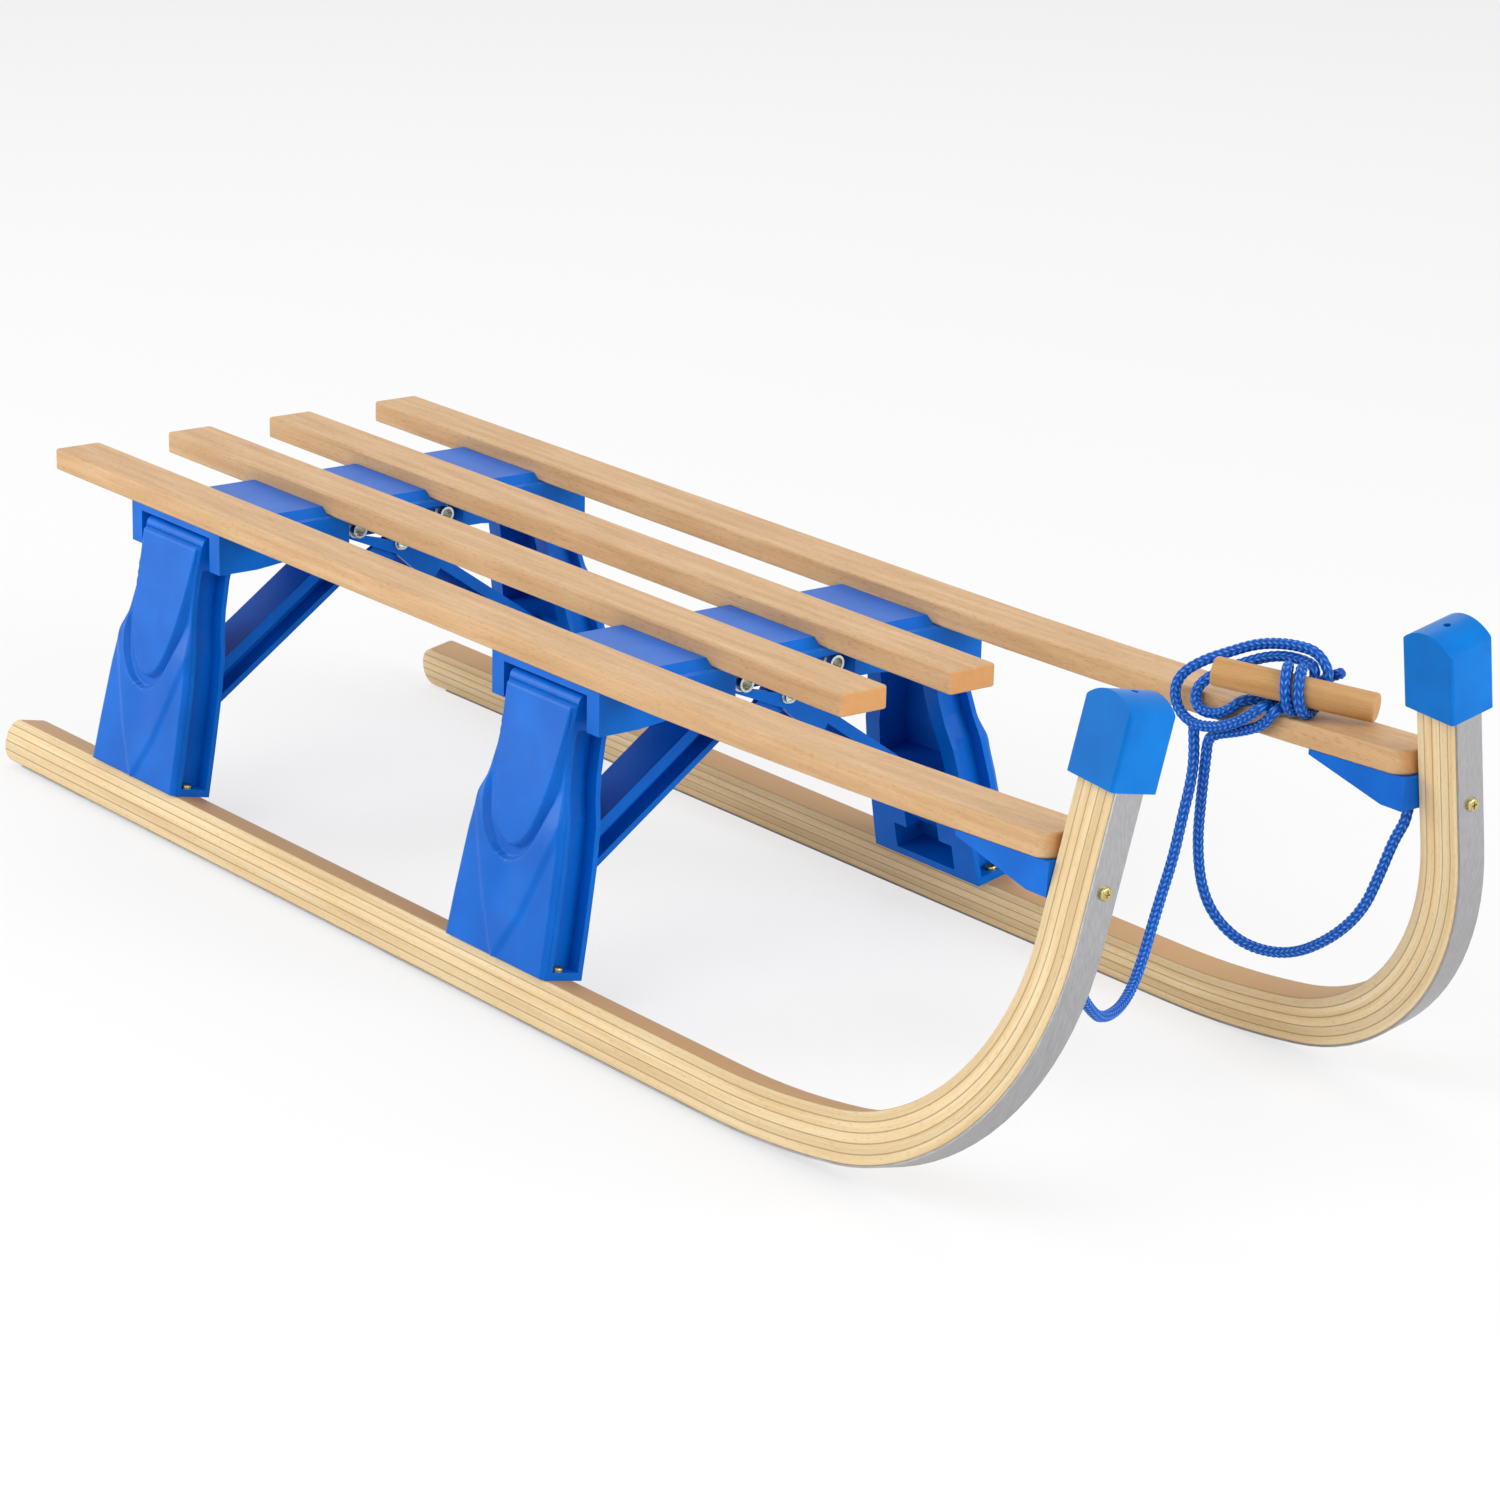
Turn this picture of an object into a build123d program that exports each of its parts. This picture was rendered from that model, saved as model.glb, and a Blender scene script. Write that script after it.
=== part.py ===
# Wooden sledge with horned runners, plastic legs and a tow rope, in millimetres.
# X runs forwards to the horns, Y to the rider's left, Z up. The floor is z = 0.
# The near side, y below zero, is modelled and the far side is its mirror image.
from build123d import *
from math import asin, cos, radians, sin, sqrt, tan
import os

os.makedirs("parts", exist_ok=True)

# Seat slats
slat_width = 34.8
slat_thickness = 14.5
slat_edge_round = 1.5
slat_corner_round = 2.5
outer_slat_nose_round = 10.0
inner_slat_y = 41.2
outer_slat_y = 130.4
seat_height = 223.0
inner_slat_length = 755.0
outer_slat_length = 1040.0
slat_lift_start = 610.0
slat_lift = 9.8

# Runners: glued plies bent in one plane that leans inwards, on a steel strip
runner_width = 20.2
runner_depth = 31.3
runner_lean = radians(11.4)
runner_y = 176.8
runner_rear_x = -13.0
horn_ahead = 34.4105
toe_radius = 688.0
toe_turn = radians(9.6)
horn_radius = 187.0
horn_turn = radians(85.5)
horn_top_height = 303.0
runner_heel_round_top = 17.0
runner_heel_round_sole = 9.0
strip_thickness = 1.2
strip_side_gap = 0.6
strip_rear_x = 12.0
strip_top_gap = 0.4

# Horn caps
cap_wall_front = 3.2
cap_wall_side = 6.0
cap_wall_top = 4.0
cap_skirt = 37.0
cap_dome_height = 9.0
cap_edge_round = 2.5
cap_hole_radius = 2.2
cap_hole_depth = 4.0
cap_fit = 0.15

# Legs, outlined by half widths at heights above the runner
rear_leg_x = 157.0
front_leg_x = 582.5
leg_depth = 26.0
leg_height = 171.7
leg_half_widths = [(0, 52.0), (29, 50.5), (69, 47.5), (94, 44.0), (109, 39.0), (124, 36.0), (144, 34.5)]
leg_top_half_width = 36.0
leg_skin = 3.5
leg_flange = 3.5
leg_side_recess = 10.5
leg_wall = 3.5
leg_foot_plate = 5.0
leg_pocket_top = 68.0
leg_window_half_width = 29.0
leg_window_height = 17.0
leg_head_depth = 22.0
leg_top_round = 5.0
leg_tongue_height = 2.6
leg_tongue_halves = [(163.0, 33.5), (134.0, 31.0), (112.0, 26.0), (90.0, 18.0), (76.0, 8.5), (72.0, 0.0)]

# Crossbeams
beam_half_length = 147.0
beam_half_width = 55.5
beam_top_plate = 4.2
beam_web = 8.0
beam_ear = 12.5
beam_ear_drop = 27.0
beam_web_drop = 21.0
beam_ear_inner_y = 118.0
beam_web_slope_y = 60.0
bay_half_width = 46.0
bay_web = 5.0
bay_front = 39.0
pad_height = 5.0
pad_half_width = 42.5
pad_slope = 7.0
pad_gap = 0.4

# Round studs on the leg tops that sit in the ears of the crossbeams
stud_radius = 4.0
stud_below_top = 11.0
stud_outward = -6.0
stud_reach = 4.0
stud_fit = 0.1

# Braces
brace_width = 32.0
brace_depth = 22.5
brace_top_flange = 7.5
brace_bottom_flange = 4.0
brace_web = 6.0
brace_cross_z = 181.0
brace_slope = 0.70
brace_body_end_y = 26.0
brace_end_block = 8.0
brace_fit = 0.3
head_thickness = 4.0
head_half_width = 8.0
head_gap = 0.2
head_cutout = 6.5

# Tubular rivets that hold the brace heads
rivet_y = 36.3
rivet_z = 196.0
rivet_radius = 4.0
rivet_flange_radius = 6.3
rivet_flange = 1.0
rivet_tube_radius = 5.3
rivet_tube_reach = 6.0
rivet_bore = 3.8
middle_rivet_radius = 3.0
middle_rivet_flange_radius = 4.8
middle_rivet_tube_radius = 4.0
middle_rivet_bore = 2.6
rivet_fit = 0.1

# Brackets between the outer slats and the horns
bracket_reach = 75.0
bracket_drop = 20.0
bracket_tail = 3.0
bracket_toe = 16.0
bracket_gap = 0.2
bracket_side_gap = 0.5

# Screws
screw_radius = 2.0
screw_head_radius = 4.0
screw_head_height = 2.4
screw_slot = 0.9
screw_fit = 0.1
foot_screw_step = 46.4
foot_screw_length = 18.0
horn_screw_height = 210.0
horn_screw_length = 43.0

# Tow rope and the round handle that it is knotted to, x measured from the outer slats' ends
rope_radius = 2.9
rope_hole_fit = 0.5
rope_hole_back = 6.0
rope_hole_y = 127.0
rope_hole_depth = 5.0
rope_end_drop = 5.5
handle_radius = 8.75
handle_end_round = 1.5
handle_rear = (-134.4, 93.5, 250.2)
handle_front = (-49.7, 141.2, 241.2)
first_wrap = 54.5
wrap_room = 0.6
wrap_pitch = 16.0
wrap_spread = 8.0
wrap_start_angle = -95.0
wrap_end_angle = -560.0
wrap_start_share = -0.72
wrap_long_share = 1.28
wrap_points = 12
wrap_flare = 1.2
wrap_lead_angle = -62.0
wrap_lead_share = -0.84
wrap_lead_room = 2.4
wrap_exit_angles = (142.0, 147.0)
wrap_exit_room = 3.4 * rope_radius

cap_skirt_bottom = horn_top_height - cap_skirt
cap_corner_height = horn_top_height + cap_wall_top
stud_height = runner_depth + leg_height - stud_below_top
rope_hole_x = outer_slat_length - rope_hole_back
lean_sin = sin(runner_lean)
lean_cos = cos(runner_lean)
seat_under = seat_height - slat_thickness
strip_half = runner_width / 2 - strip_side_gap
sole_lift = strip_half * lean_sin
leg_outer = runner_width / 2
leg_inner = leg_outer - leg_depth
bend_v = toe_radius - (toe_radius - horn_radius) * cos(toe_turn)
# the horns' fronts stand ahead of the outer slats' ends at the seat's height
bend_x = (
    outer_slat_length + horn_ahead - horn_radius * sin(horn_turn)
    - (seat_height - bend_v + horn_radius * cos(horn_turn)) / tan(horn_turn)
)
runner_flat_end_x = bend_x - (toe_radius - horn_radius) * sin(toe_turn)


def horn_front(height):
    """x of the horn's front face at a height in the runner's plane, above the bend"""
    rise = height - bend_v + horn_radius * cos(horn_turn)
    return bend_x + horn_radius * sin(horn_turn) + rise / tan(horn_turn)


cap_front_x = horn_front(cap_corner_height) + (cap_fit + cap_wall_front) / sin(horn_turn)
x0 = -(runner_rear_x + cap_front_x) / 2
along = Vector(1, 0, 0)
outward = Vector(0, -lean_cos, lean_sin)
up_lean = Vector(0, lean_sin, lean_cos)


def side_point(x, out, height):
    """point of the near runner's own frame: along, outward of its middle, up the lean"""
    return Vector(x0 + x, -runner_y, sole_lift) + outward * out + up_lean * height


def side_plane(out):
    return Plane(origin=side_point(0, out, 0), x_dir=along, z_dir=outward)


def curved_band(lower, upper, rear, top):
    """closed outline between two heights above the sole, from the rear to the horn's top"""
    rows = []
    for lift in (lower, upper):
        toe = toe_radius - lift
        horn = horn_radius - lift
        middle = (toe_turn + horn_turn) / 2
        end = (bend_x + horn * sin(horn_turn), bend_v - horn * cos(horn_turn))
        rows.append([
            (rear, lift),
            (runner_flat_end_x, lift),
            (runner_flat_end_x + toe * sin(toe_turn / 2), toe_radius - toe * cos(toe_turn / 2)),
            (runner_flat_end_x + toe * sin(toe_turn), toe_radius - toe * cos(toe_turn)),
            (bend_x + horn * sin(middle), bend_v - horn * cos(middle)),
            end,
            (end[0] + (top - end[1]) / tan(horn_turn), top),
        ])
    for row in rows:
        Line(row[0], row[1])
        ThreePointArc(row[1], row[2], row[3])
        ThreePointArc(row[3], row[4], row[5])
        Line(row[5], row[6])
    Line(rows[0][0], rows[1][0])
    Line(rows[0][6], rows[1][6])


def save(solid, name):
    solid.label = name
    export_step(solid, "parts/" + name + ".step")


def save_pair(near, name):
    save(near.part, "near_" + name)
    save(near.part.mirror(Plane.XZ), "far_" + name)


# Where the screws go
foot_screw_planes = [
    Plane(origin=side_point(leg_x + step, 0, runner_depth + leg_foot_plate), x_dir=along, z_dir=up_lean)
    for leg_x in (rear_leg_x, front_leg_x)
    for step in (-foot_screw_step, foot_screw_step)
]
horn_normal = along * sin(horn_turn) - up_lean * cos(horn_turn)
horn_up = along * cos(horn_turn) + up_lean * sin(horn_turn)
horn_screw_plane = Plane(
    origin=side_point(horn_front(horn_screw_height), 0, horn_screw_height), x_dir=outward, z_dir=horn_normal
)

# Runners
with BuildPart() as runner:
    with BuildSketch(side_plane(-runner_width / 2)):
        with BuildLine():
            curved_band(strip_thickness, runner_depth, runner_rear_x, horn_top_height)
        make_face()
    extrude(amount=runner_width)
    heel = runner.faces().sort_by(Axis.X)[0].edges().filter_by(Axis((0, 0, 0), outward))
    fillet(heel.sort_by(Axis.Z)[0], runner_heel_round_sole)
    heel = runner.faces().sort_by(Axis.X)[0].edges().filter_by(Axis((0, 0, 0), outward))
    fillet(heel.sort_by(Axis.Z)[-1], runner_heel_round_top)
    for plane in foot_screw_planes:
        with BuildSketch(plane):
            Circle(screw_radius + screw_fit)
        extrude(amount=-foot_screw_length - screw_fit, mode=Mode.SUBTRACT)
    with BuildSketch(horn_screw_plane):
        Circle(screw_radius + screw_fit)
    extrude(amount=-2 * runner_depth, mode=Mode.SUBTRACT)
save_pair(runner, "runner")

# Steel strips
with BuildPart() as strip:
    with BuildSketch(side_plane(-strip_half)):
        with BuildLine():
            curved_band(0, strip_thickness, strip_rear_x, horn_top_height - strip_top_gap)
        make_face()
    extrude(amount=2 * strip_half)
    with BuildSketch(horn_screw_plane):
        Circle(screw_radius + screw_fit)
    extrude(amount=-2 * strip_thickness, both=True, mode=Mode.SUBTRACT)
save_pair(strip, "runner_strip")

# Horn caps, leaning with the horn, their tops arched from back to front
cap_plane = Plane(
    origin=side_point(horn_front(cap_skirt_bottom), 0, cap_skirt_bottom), x_dir=horn_normal, z_dir=horn_up
)
cap_side_plane = Plane(origin=cap_plane.origin, x_dir=horn_normal, z_dir=outward)
cap_front = cap_fit + cap_wall_front
cap_rear = -runner_depth - cap_fit - cap_wall_front
cap_half_width = runner_width / 2 + cap_fit + cap_wall_side
cap_middle = -runner_depth / 2
cap_height = (cap_corner_height - cap_skirt_bottom) / sin(horn_turn)
cap_room = (horn_top_height - cap_skirt_bottom) / sin(horn_turn) + runner_depth / tan(horn_turn)
with BuildPart() as cap:
    with BuildSketch(cap_side_plane):
        with BuildLine():
            Polyline((cap_front, cap_height), (cap_front, 0), (cap_rear, 0), (cap_rear, cap_height))
            ThreePointArc(
                (cap_rear, cap_height), (cap_middle, cap_height + cap_dome_height), (cap_front, cap_height)
            )
        make_face()
    extrude(amount=cap_half_width, both=True)
    upright = Axis(cap_plane.origin, horn_up)
    fillet(cap.edges().filter_by(upright), cap_edge_round)
    with BuildSketch(cap_plane):
        with Locations((cap_middle, 0)):
            Rectangle(runner_depth + 2 * cap_fit, runner_width + 2 * cap_fit)
    extrude(amount=cap_room, mode=Mode.SUBTRACT)
    with BuildSketch(cap_plane.offset(cap_height + cap_dome_height)):
        with Locations((cap_middle, 0)):
            Circle(cap_hole_radius)
    extrude(amount=-cap_hole_depth, mode=Mode.SUBTRACT)
save_pair(cap, "horn_cap")


def leg_outline(leg_x, inset, low, high):
    """leg outline between two heights above the runner, drawn in by `inset` on each side"""
    halves = [(height, half) for height, half in leg_half_widths if low < height < high]
    start = [half for height, half in leg_half_widths if height <= low][-1]
    end = leg_top_half_width if high >= leg_height else halves[-1][1]
    halves = [(low, start)] + halves + [(high, end)]
    right = [(leg_x + half - inset, runner_depth + height) for height, half in halves]
    left = [(leg_x - half + inset, runner_depth + height) for height, half in reversed(halves)]
    Polyline(*right, *left, close=True)


# Legs
for name, leg_x in (("rear", rear_leg_x), ("front", front_leg_x)):
    with BuildPart() as leg:
        with BuildSketch(side_plane(leg_inner)):
            with BuildLine():
                leg_outline(leg_x, 0, 0, leg_height)
            make_face()
        extrude(amount=leg_depth)
        fillet(leg.edges().filter_by(Axis.X).sort_by(Axis.Z)[-2:], leg_top_round)
        # channels down both sides, between the outer skin and the inner flange
        with BuildSketch(side_plane(leg_inner + leg_flange)):
            with Locations((leg_x, runner_depth + leg_foot_plate)):
                Rectangle(
                    4 * leg_half_widths[0][1], leg_height - leg_foot_plate - leg_head_depth,
                    align=(Align.CENTER, Align.MIN),
                )
            with BuildLine():
                leg_outline(leg_x, leg_side_recess, 0, leg_height)
            make_face(mode=Mode.SUBTRACT)
        extrude(amount=leg_depth - leg_flange - leg_skin, mode=Mode.SUBTRACT)
        # hollow back, open to the inside, with the pocket of the brace below it
        with BuildSketch(side_plane(leg_inner)):
            with BuildLine():
                leg_outline(
                    leg_x, leg_side_recess + leg_wall, leg_pocket_top + leg_wall,
                    leg_height - leg_head_depth - leg_wall,
                )
            make_face()
            with Locations((leg_x, runner_depth + leg_foot_plate + leg_wall)):
                Rectangle(
                    brace_width + 2 * brace_fit, leg_pocket_top - leg_foot_plate - leg_wall,
                    align=(Align.CENTER, Align.MIN),
                )
            with Locations((leg_x, runner_depth + leg_foot_plate)):
                Rectangle(2 * leg_window_half_width, leg_window_height, align=(Align.CENTER, Align.MIN))
        extrude(amount=leg_depth - leg_skin, mode=Mode.SUBTRACT)
        # raised tongue in the upper half of the outer face, rounded at its lower end
        with BuildSketch(side_plane(leg_outer)):
            with BuildLine():
                right = [(leg_x + half, runner_depth + height) for height, half in leg_tongue_halves]
                left = [
                    (leg_x - half, runner_depth + height) for height, half in reversed(leg_tongue_halves[:-1])
                ]
                Spline(*right, *left)
                Line(left[-1], right[0])
            make_face()
        extrude(amount=leg_tongue_height)
        # studs on both sides of the top
        stud = side_point(leg_x, stud_outward, stud_height)
        with BuildSketch(Plane(origin=stud, x_dir=(0, 1, 0), z_dir=(1, 0, 0))):
            Circle(stud_radius)
        extrude(amount=beam_half_width - beam_ear + stud_reach, both=True)
        for plane in foot_screw_planes:
            with BuildSketch(plane):
                Circle(screw_radius + screw_fit)
            extrude(amount=-2 * leg_foot_plate, mode=Mode.SUBTRACT)
    save_pair(leg, name + "_leg")


def beam_side_outline():
    """outline of a crossbeam's long side, seen from the front"""
    ear_low = seat_under - beam_ear_drop
    web_low = seat_under - beam_web_drop
    right = [
        (beam_web_slope_y, web_low), (beam_ear_inner_y, ear_low), (beam_half_length, ear_low),
        (beam_half_length, seat_under),
    ]
    left = [(-y, z) for y, z in reversed(right)]
    Polyline(*right, *left, close=True)


# Crossbeams
for name, leg_x in (("rear", rear_leg_x), ("front", front_leg_x)):
    middle = x0 + leg_x
    plate_under = seat_under - beam_top_plate
    with BuildPart() as beam:
        with BuildSketch(Plane(origin=(middle - beam_half_width, 0, 0), x_dir=(0, 1, 0), z_dir=(1, 0, 0))):
            with BuildLine():
                beam_side_outline()
            make_face()
        extrude(amount=2 * beam_half_width)
        # hollow underneath, narrower between the ears
        with Locations((middle, 0, plate_under)):
            Box(
                2 * (beam_half_width - beam_web), 2 * beam_ear_inner_y, 4 * beam_ear_drop,
                align=(Align.CENTER, Align.CENTER, Align.MAX), mode=Mode.SUBTRACT,
            )
            Box(
                2 * (beam_half_width - beam_ear), 4 * beam_half_length, 4 * beam_ear_drop,
                align=(Align.CENTER, Align.CENTER, Align.MAX), mode=Mode.SUBTRACT,
            )
        # bay in the front web, set back to take the brace heads
        with Locations((middle + bay_front, 0, plate_under)):
            Box(
                beam_half_width, 2 * bay_half_width, 4 * beam_ear_drop,
                align=(Align.MIN, Align.CENTER, Align.MAX), mode=Mode.SUBTRACT,
            )
            Box(
                bay_web, 2 * (bay_half_width + beam_web), beam_web_drop - beam_top_plate,
                align=(Align.MAX, Align.CENTER, Align.MAX),
            )
        for side in (-1, 1):
            with Locations((middle + bay_front - bay_web, side * bay_half_width, plate_under)):
                Box(
                    beam_half_width - bay_front + bay_web - beam_web / 2,
                    beam_web,
                    beam_web_drop - beam_top_plate,
                    align=(Align.MIN, Align.MIN if side > 0 else Align.MAX, Align.MAX),
                )
        with Locations(Location((middle + bay_front, -rivet_y, rivet_z), (0, 90, 0))):
            Cylinder(
                head_half_width, head_gap + head_thickness, align=(Align.CENTER, Align.CENTER, Align.MIN)
            )
        # pads that stand up between the slats
        edges = [
            -outer_slat_y + slat_width / 2, -inner_slat_y - slat_width / 2, -inner_slat_y + slat_width / 2,
            inner_slat_y - slat_width / 2, inner_slat_y + slat_width / 2, outer_slat_y - slat_width / 2,
        ]
        for low_y, high_y in zip(edges[::2], edges[1::2]):
            pad_origin = (middle, high_y - pad_gap, seat_under)
            pad_plane = Plane(origin=pad_origin, x_dir=(1, 0, 0), z_dir=(0, -1, 0))
            with BuildSketch(pad_plane):
                with BuildLine():
                    Polyline(
                        (-pad_half_width - pad_slope, 0), (-pad_half_width, pad_height),
                        (pad_half_width, pad_height), (pad_half_width + pad_slope, 0), close=True,
                    )
                make_face()
            extrude(amount=high_y - low_y - 2 * pad_gap)
        # sockets for the leg studs, and rivet holes
        stud = side_point(leg_x, stud_outward, stud_height)
        for side in (-1, 1):
            with BuildSketch(Plane(origin=(stud.X, side * stud.Y, stud.Z), x_dir=(0, 1, 0), z_dir=(1, 0, 0))):
                Circle(stud_radius + stud_fit)
            extrude(
                amount=beam_half_width - beam_ear + stud_reach + stud_fit, both=True, mode=Mode.SUBTRACT
            )
            rivet_origin = (middle, side * rivet_y, rivet_z)
            with BuildSketch(Plane(origin=rivet_origin, x_dir=(0, 1, 0), z_dir=(1, 0, 0))):
                Circle(rivet_radius + rivet_fit)
            extrude(amount=beam_half_width, mode=Mode.SUBTRACT)
    save(beam.part, name + "_crossbeam")


def brace(leg_x, head_back):
    """brace from the near leg, under the crossbeam's middle, to the rivet on the far side"""
    middle = x0 + leg_x
    direction = Vector(0, 1, brace_slope).normalized()
    normal = Vector(0, -direction.Z, direction.Y)
    body_end = Vector(middle, -brace_body_end_y, brace_cross_z - brace_slope * brace_body_end_y)
    end_plane = Plane(origin=body_end, x_dir=along, z_dir=direction * -1)
    head_dir = Vector(0, rivet_y, rivet_z - brace_cross_z).normalized()
    head_normal = Vector(0, -head_dir.Z, head_dir.Y)
    cross = Vector(0, 0, brace_cross_z)
    rivet = Vector(0, rivet_y, rivet_z)
    with BuildPart() as result:
        with BuildSketch(end_plane):
            Rectangle(brace_width, brace_depth)
            for side in (-1, 1):
                with Locations((side * brace_width / 2, (brace_bottom_flange - brace_top_flange) / 2)):
                    Rectangle(
                        brace_width - brace_web, brace_depth - brace_top_flange - brace_bottom_flange,
                        mode=Mode.SUBTRACT,
                    )
        extrude(amount=runner_y)
        split(bisect_by=side_plane(leg_outer - leg_skin - brace_fit), keep=Keep.BOTTOM)
        # block that carries the flat head in front of the body
        with BuildSketch(end_plane):
            with Locations((-brace_width / 2, 0)):
                Rectangle(
                    brace_width / 2 + head_back + head_thickness, brace_depth, align=(Align.MIN, Align.CENTER)
                )
        extrude(amount=brace_end_block)
        # flat head over the middle rivet to the crossbeam's rivet, with an opening
        with BuildSketch(Plane(origin=(middle + head_back, 0, 0), x_dir=(0, 1, 0), z_dir=(1, 0, 0))):
            corners = [
                body_end + normal * (brace_depth / 2), body_end - normal * (brace_depth / 2),
                cross - head_normal * head_half_width, rivet - head_normal * head_half_width,
                rivet + head_normal * head_half_width, cross + head_normal * head_half_width,
            ]
            with BuildLine():
                Polyline(*[(point.Y, point.Z) for point in corners], close=True)
            make_face()
            with Locations((rivet.Y, rivet.Z)):
                Circle(head_half_width)
                Circle(rivet_radius + rivet_fit, mode=Mode.SUBTRACT)
            with Locations((0, brace_cross_z)):
                Circle(middle_rivet_radius + rivet_fit, mode=Mode.SUBTRACT)
            opening = [
                cross + head_dir * (middle_rivet_flange_radius + 2),
                rivet - head_dir * (rivet_flange_radius + 2) + head_normal * (head_cutout / 2),
                rivet - head_dir * (rivet_flange_radius + 2) - head_normal * (head_cutout / 2),
            ]
            with BuildLine():
                Polyline(*[(point.Y, point.Z) for point in opening], close=True)
            make_face(mode=Mode.SUBTRACT)
        extrude(amount=head_thickness)
    return result.part


near_head_back = bay_front + head_gap
far_head_back = near_head_back + head_thickness + head_gap
for name, leg_x in (("rear", rear_leg_x), ("front", front_leg_x)):
    save(brace(leg_x, near_head_back), "near_" + name + "_brace")
    save(brace(leg_x, far_head_back).mirror(Plane.XZ), "far_" + name + "_brace")


def stack(point, steps):
    """round steps one after another along x from the point, each a start, radius and length"""
    for start, radius, length in steps:
        with Locations(Location((point.X + start, point.Y, point.Z), (0, 90, 0))):
            Cylinder(radius, length, align=(Align.CENTER, Align.CENTER, Align.MIN))


def bore(point, start, radius, length):
    with Locations(Location((point.X + start, point.Y, point.Z), (0, 90, 0))):
        Cylinder(radius, length, align=(Align.CENTER, Align.CENTER, Align.MAX), mode=Mode.SUBTRACT)


# Tubular rivets: two through each crossbeam's bay and one where the heads cross
for name, leg_x in (("rear", rear_leg_x), ("front", front_leg_x)):
    middle = x0 + leg_x
    bay_back = bay_front - bay_web
    with BuildPart() as rivets:
        for side, face in ((1, near_head_back + head_thickness), (-1, far_head_back + head_thickness)):
            point = Vector(middle, side * rivet_y, rivet_z)
            stack(point, [
                (bay_back - rivet_flange, rivet_flange_radius, rivet_flange),
                (bay_back, rivet_radius, face - bay_back),
                (face, rivet_flange_radius, rivet_flange),
                (face, rivet_tube_radius, rivet_flange + rivet_tube_reach),
            ])
            bore(point, face + rivet_flange + rivet_tube_reach, rivet_bore, rivet_tube_reach)
    save(rivets.part, name + "_beam_rivets")
    with BuildPart() as cross_rivet:
        point = Vector(middle, 0, brace_cross_z)
        face = far_head_back + head_thickness
        stack(point, [
            (near_head_back - rivet_flange, middle_rivet_flange_radius, rivet_flange),
            (near_head_back, middle_rivet_radius, face - near_head_back),
            (face, middle_rivet_flange_radius, rivet_flange),
            (face, middle_rivet_tube_radius, rivet_flange + rivet_tube_reach / 2),
        ])
        bore(point, face + rivet_flange + rivet_tube_reach / 2, middle_rivet_bore, rivet_tube_reach / 2)
    save(cross_rivet.part, name + "_cross_rivet")


def under_slat(x, depth):
    """point at a depth below the top of an outer slat, square to its bend, x from the rear"""
    run = outer_slat_length - slat_lift_start
    radius = (run**2 + slat_lift**2) / (2 * slat_lift)
    turn = asin(max(x - slat_lift_start, 0) / radius)
    return (x + depth * sin(turn), seat_height + radius - (radius + depth) * cos(turn))


# Seat slats
with BuildPart() as inner_slat:
    with Locations((x0, -inner_slat_y, seat_height)):
        Box(
            inner_slat_length, slat_width, slat_thickness, align=(Align.MIN, Align.CENTER, Align.MAX)
        )
    fillet(inner_slat.edges().filter_by(Axis.Z), slat_corner_round)
    fillet(inner_slat.edges().group_by(Axis.Z)[-1], slat_edge_round)
    fillet(inner_slat.edges().group_by(Axis.Z)[0], slat_edge_round)
save_pair(inner_slat, "inner_slat")

slat_bend_middle = (slat_lift_start + outer_slat_length) / 2
with BuildPart() as outer_slat:
    slat_origin = (x0, -outer_slat_y + slat_width / 2, 0)
    with BuildSketch(Plane(origin=slat_origin, x_dir=(1, 0, 0), z_dir=(0, -1, 0))):
        with BuildLine():
            for depth in (0, slat_thickness):
                Line(under_slat(0, depth), under_slat(slat_lift_start, depth))
                ThreePointArc(
                    under_slat(slat_lift_start, depth), under_slat(slat_bend_middle, depth),
                    under_slat(outer_slat_length, depth),
                )
            Line(under_slat(0, 0), under_slat(0, slat_thickness))
            Line(under_slat(outer_slat_length, 0), under_slat(outer_slat_length, slat_thickness))
        make_face()
    extrude(amount=slat_width)
    nose_corners = outer_slat.faces().sort_by(Axis.X)[-1].edges().filter_by(Axis.Y, reverse=True)
    fillet(nose_corners, outer_slat_nose_round)
    fillet(outer_slat.faces().sort_by(Axis.X)[0].edges().filter_by(Axis.Z), slat_corner_round)
    for facing in (1, -1):
        wide_faces = outer_slat.faces().filter_by(lambda face: facing * face.normal_at().Z > 0.9)
        fillet(
            wide_faces.edges().filter_by(lambda edge: sum(edge in face.edges() for face in wide_faces) == 1),
            slat_edge_round,
        )
save_pair(outer_slat, "outer_slat")

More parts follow.
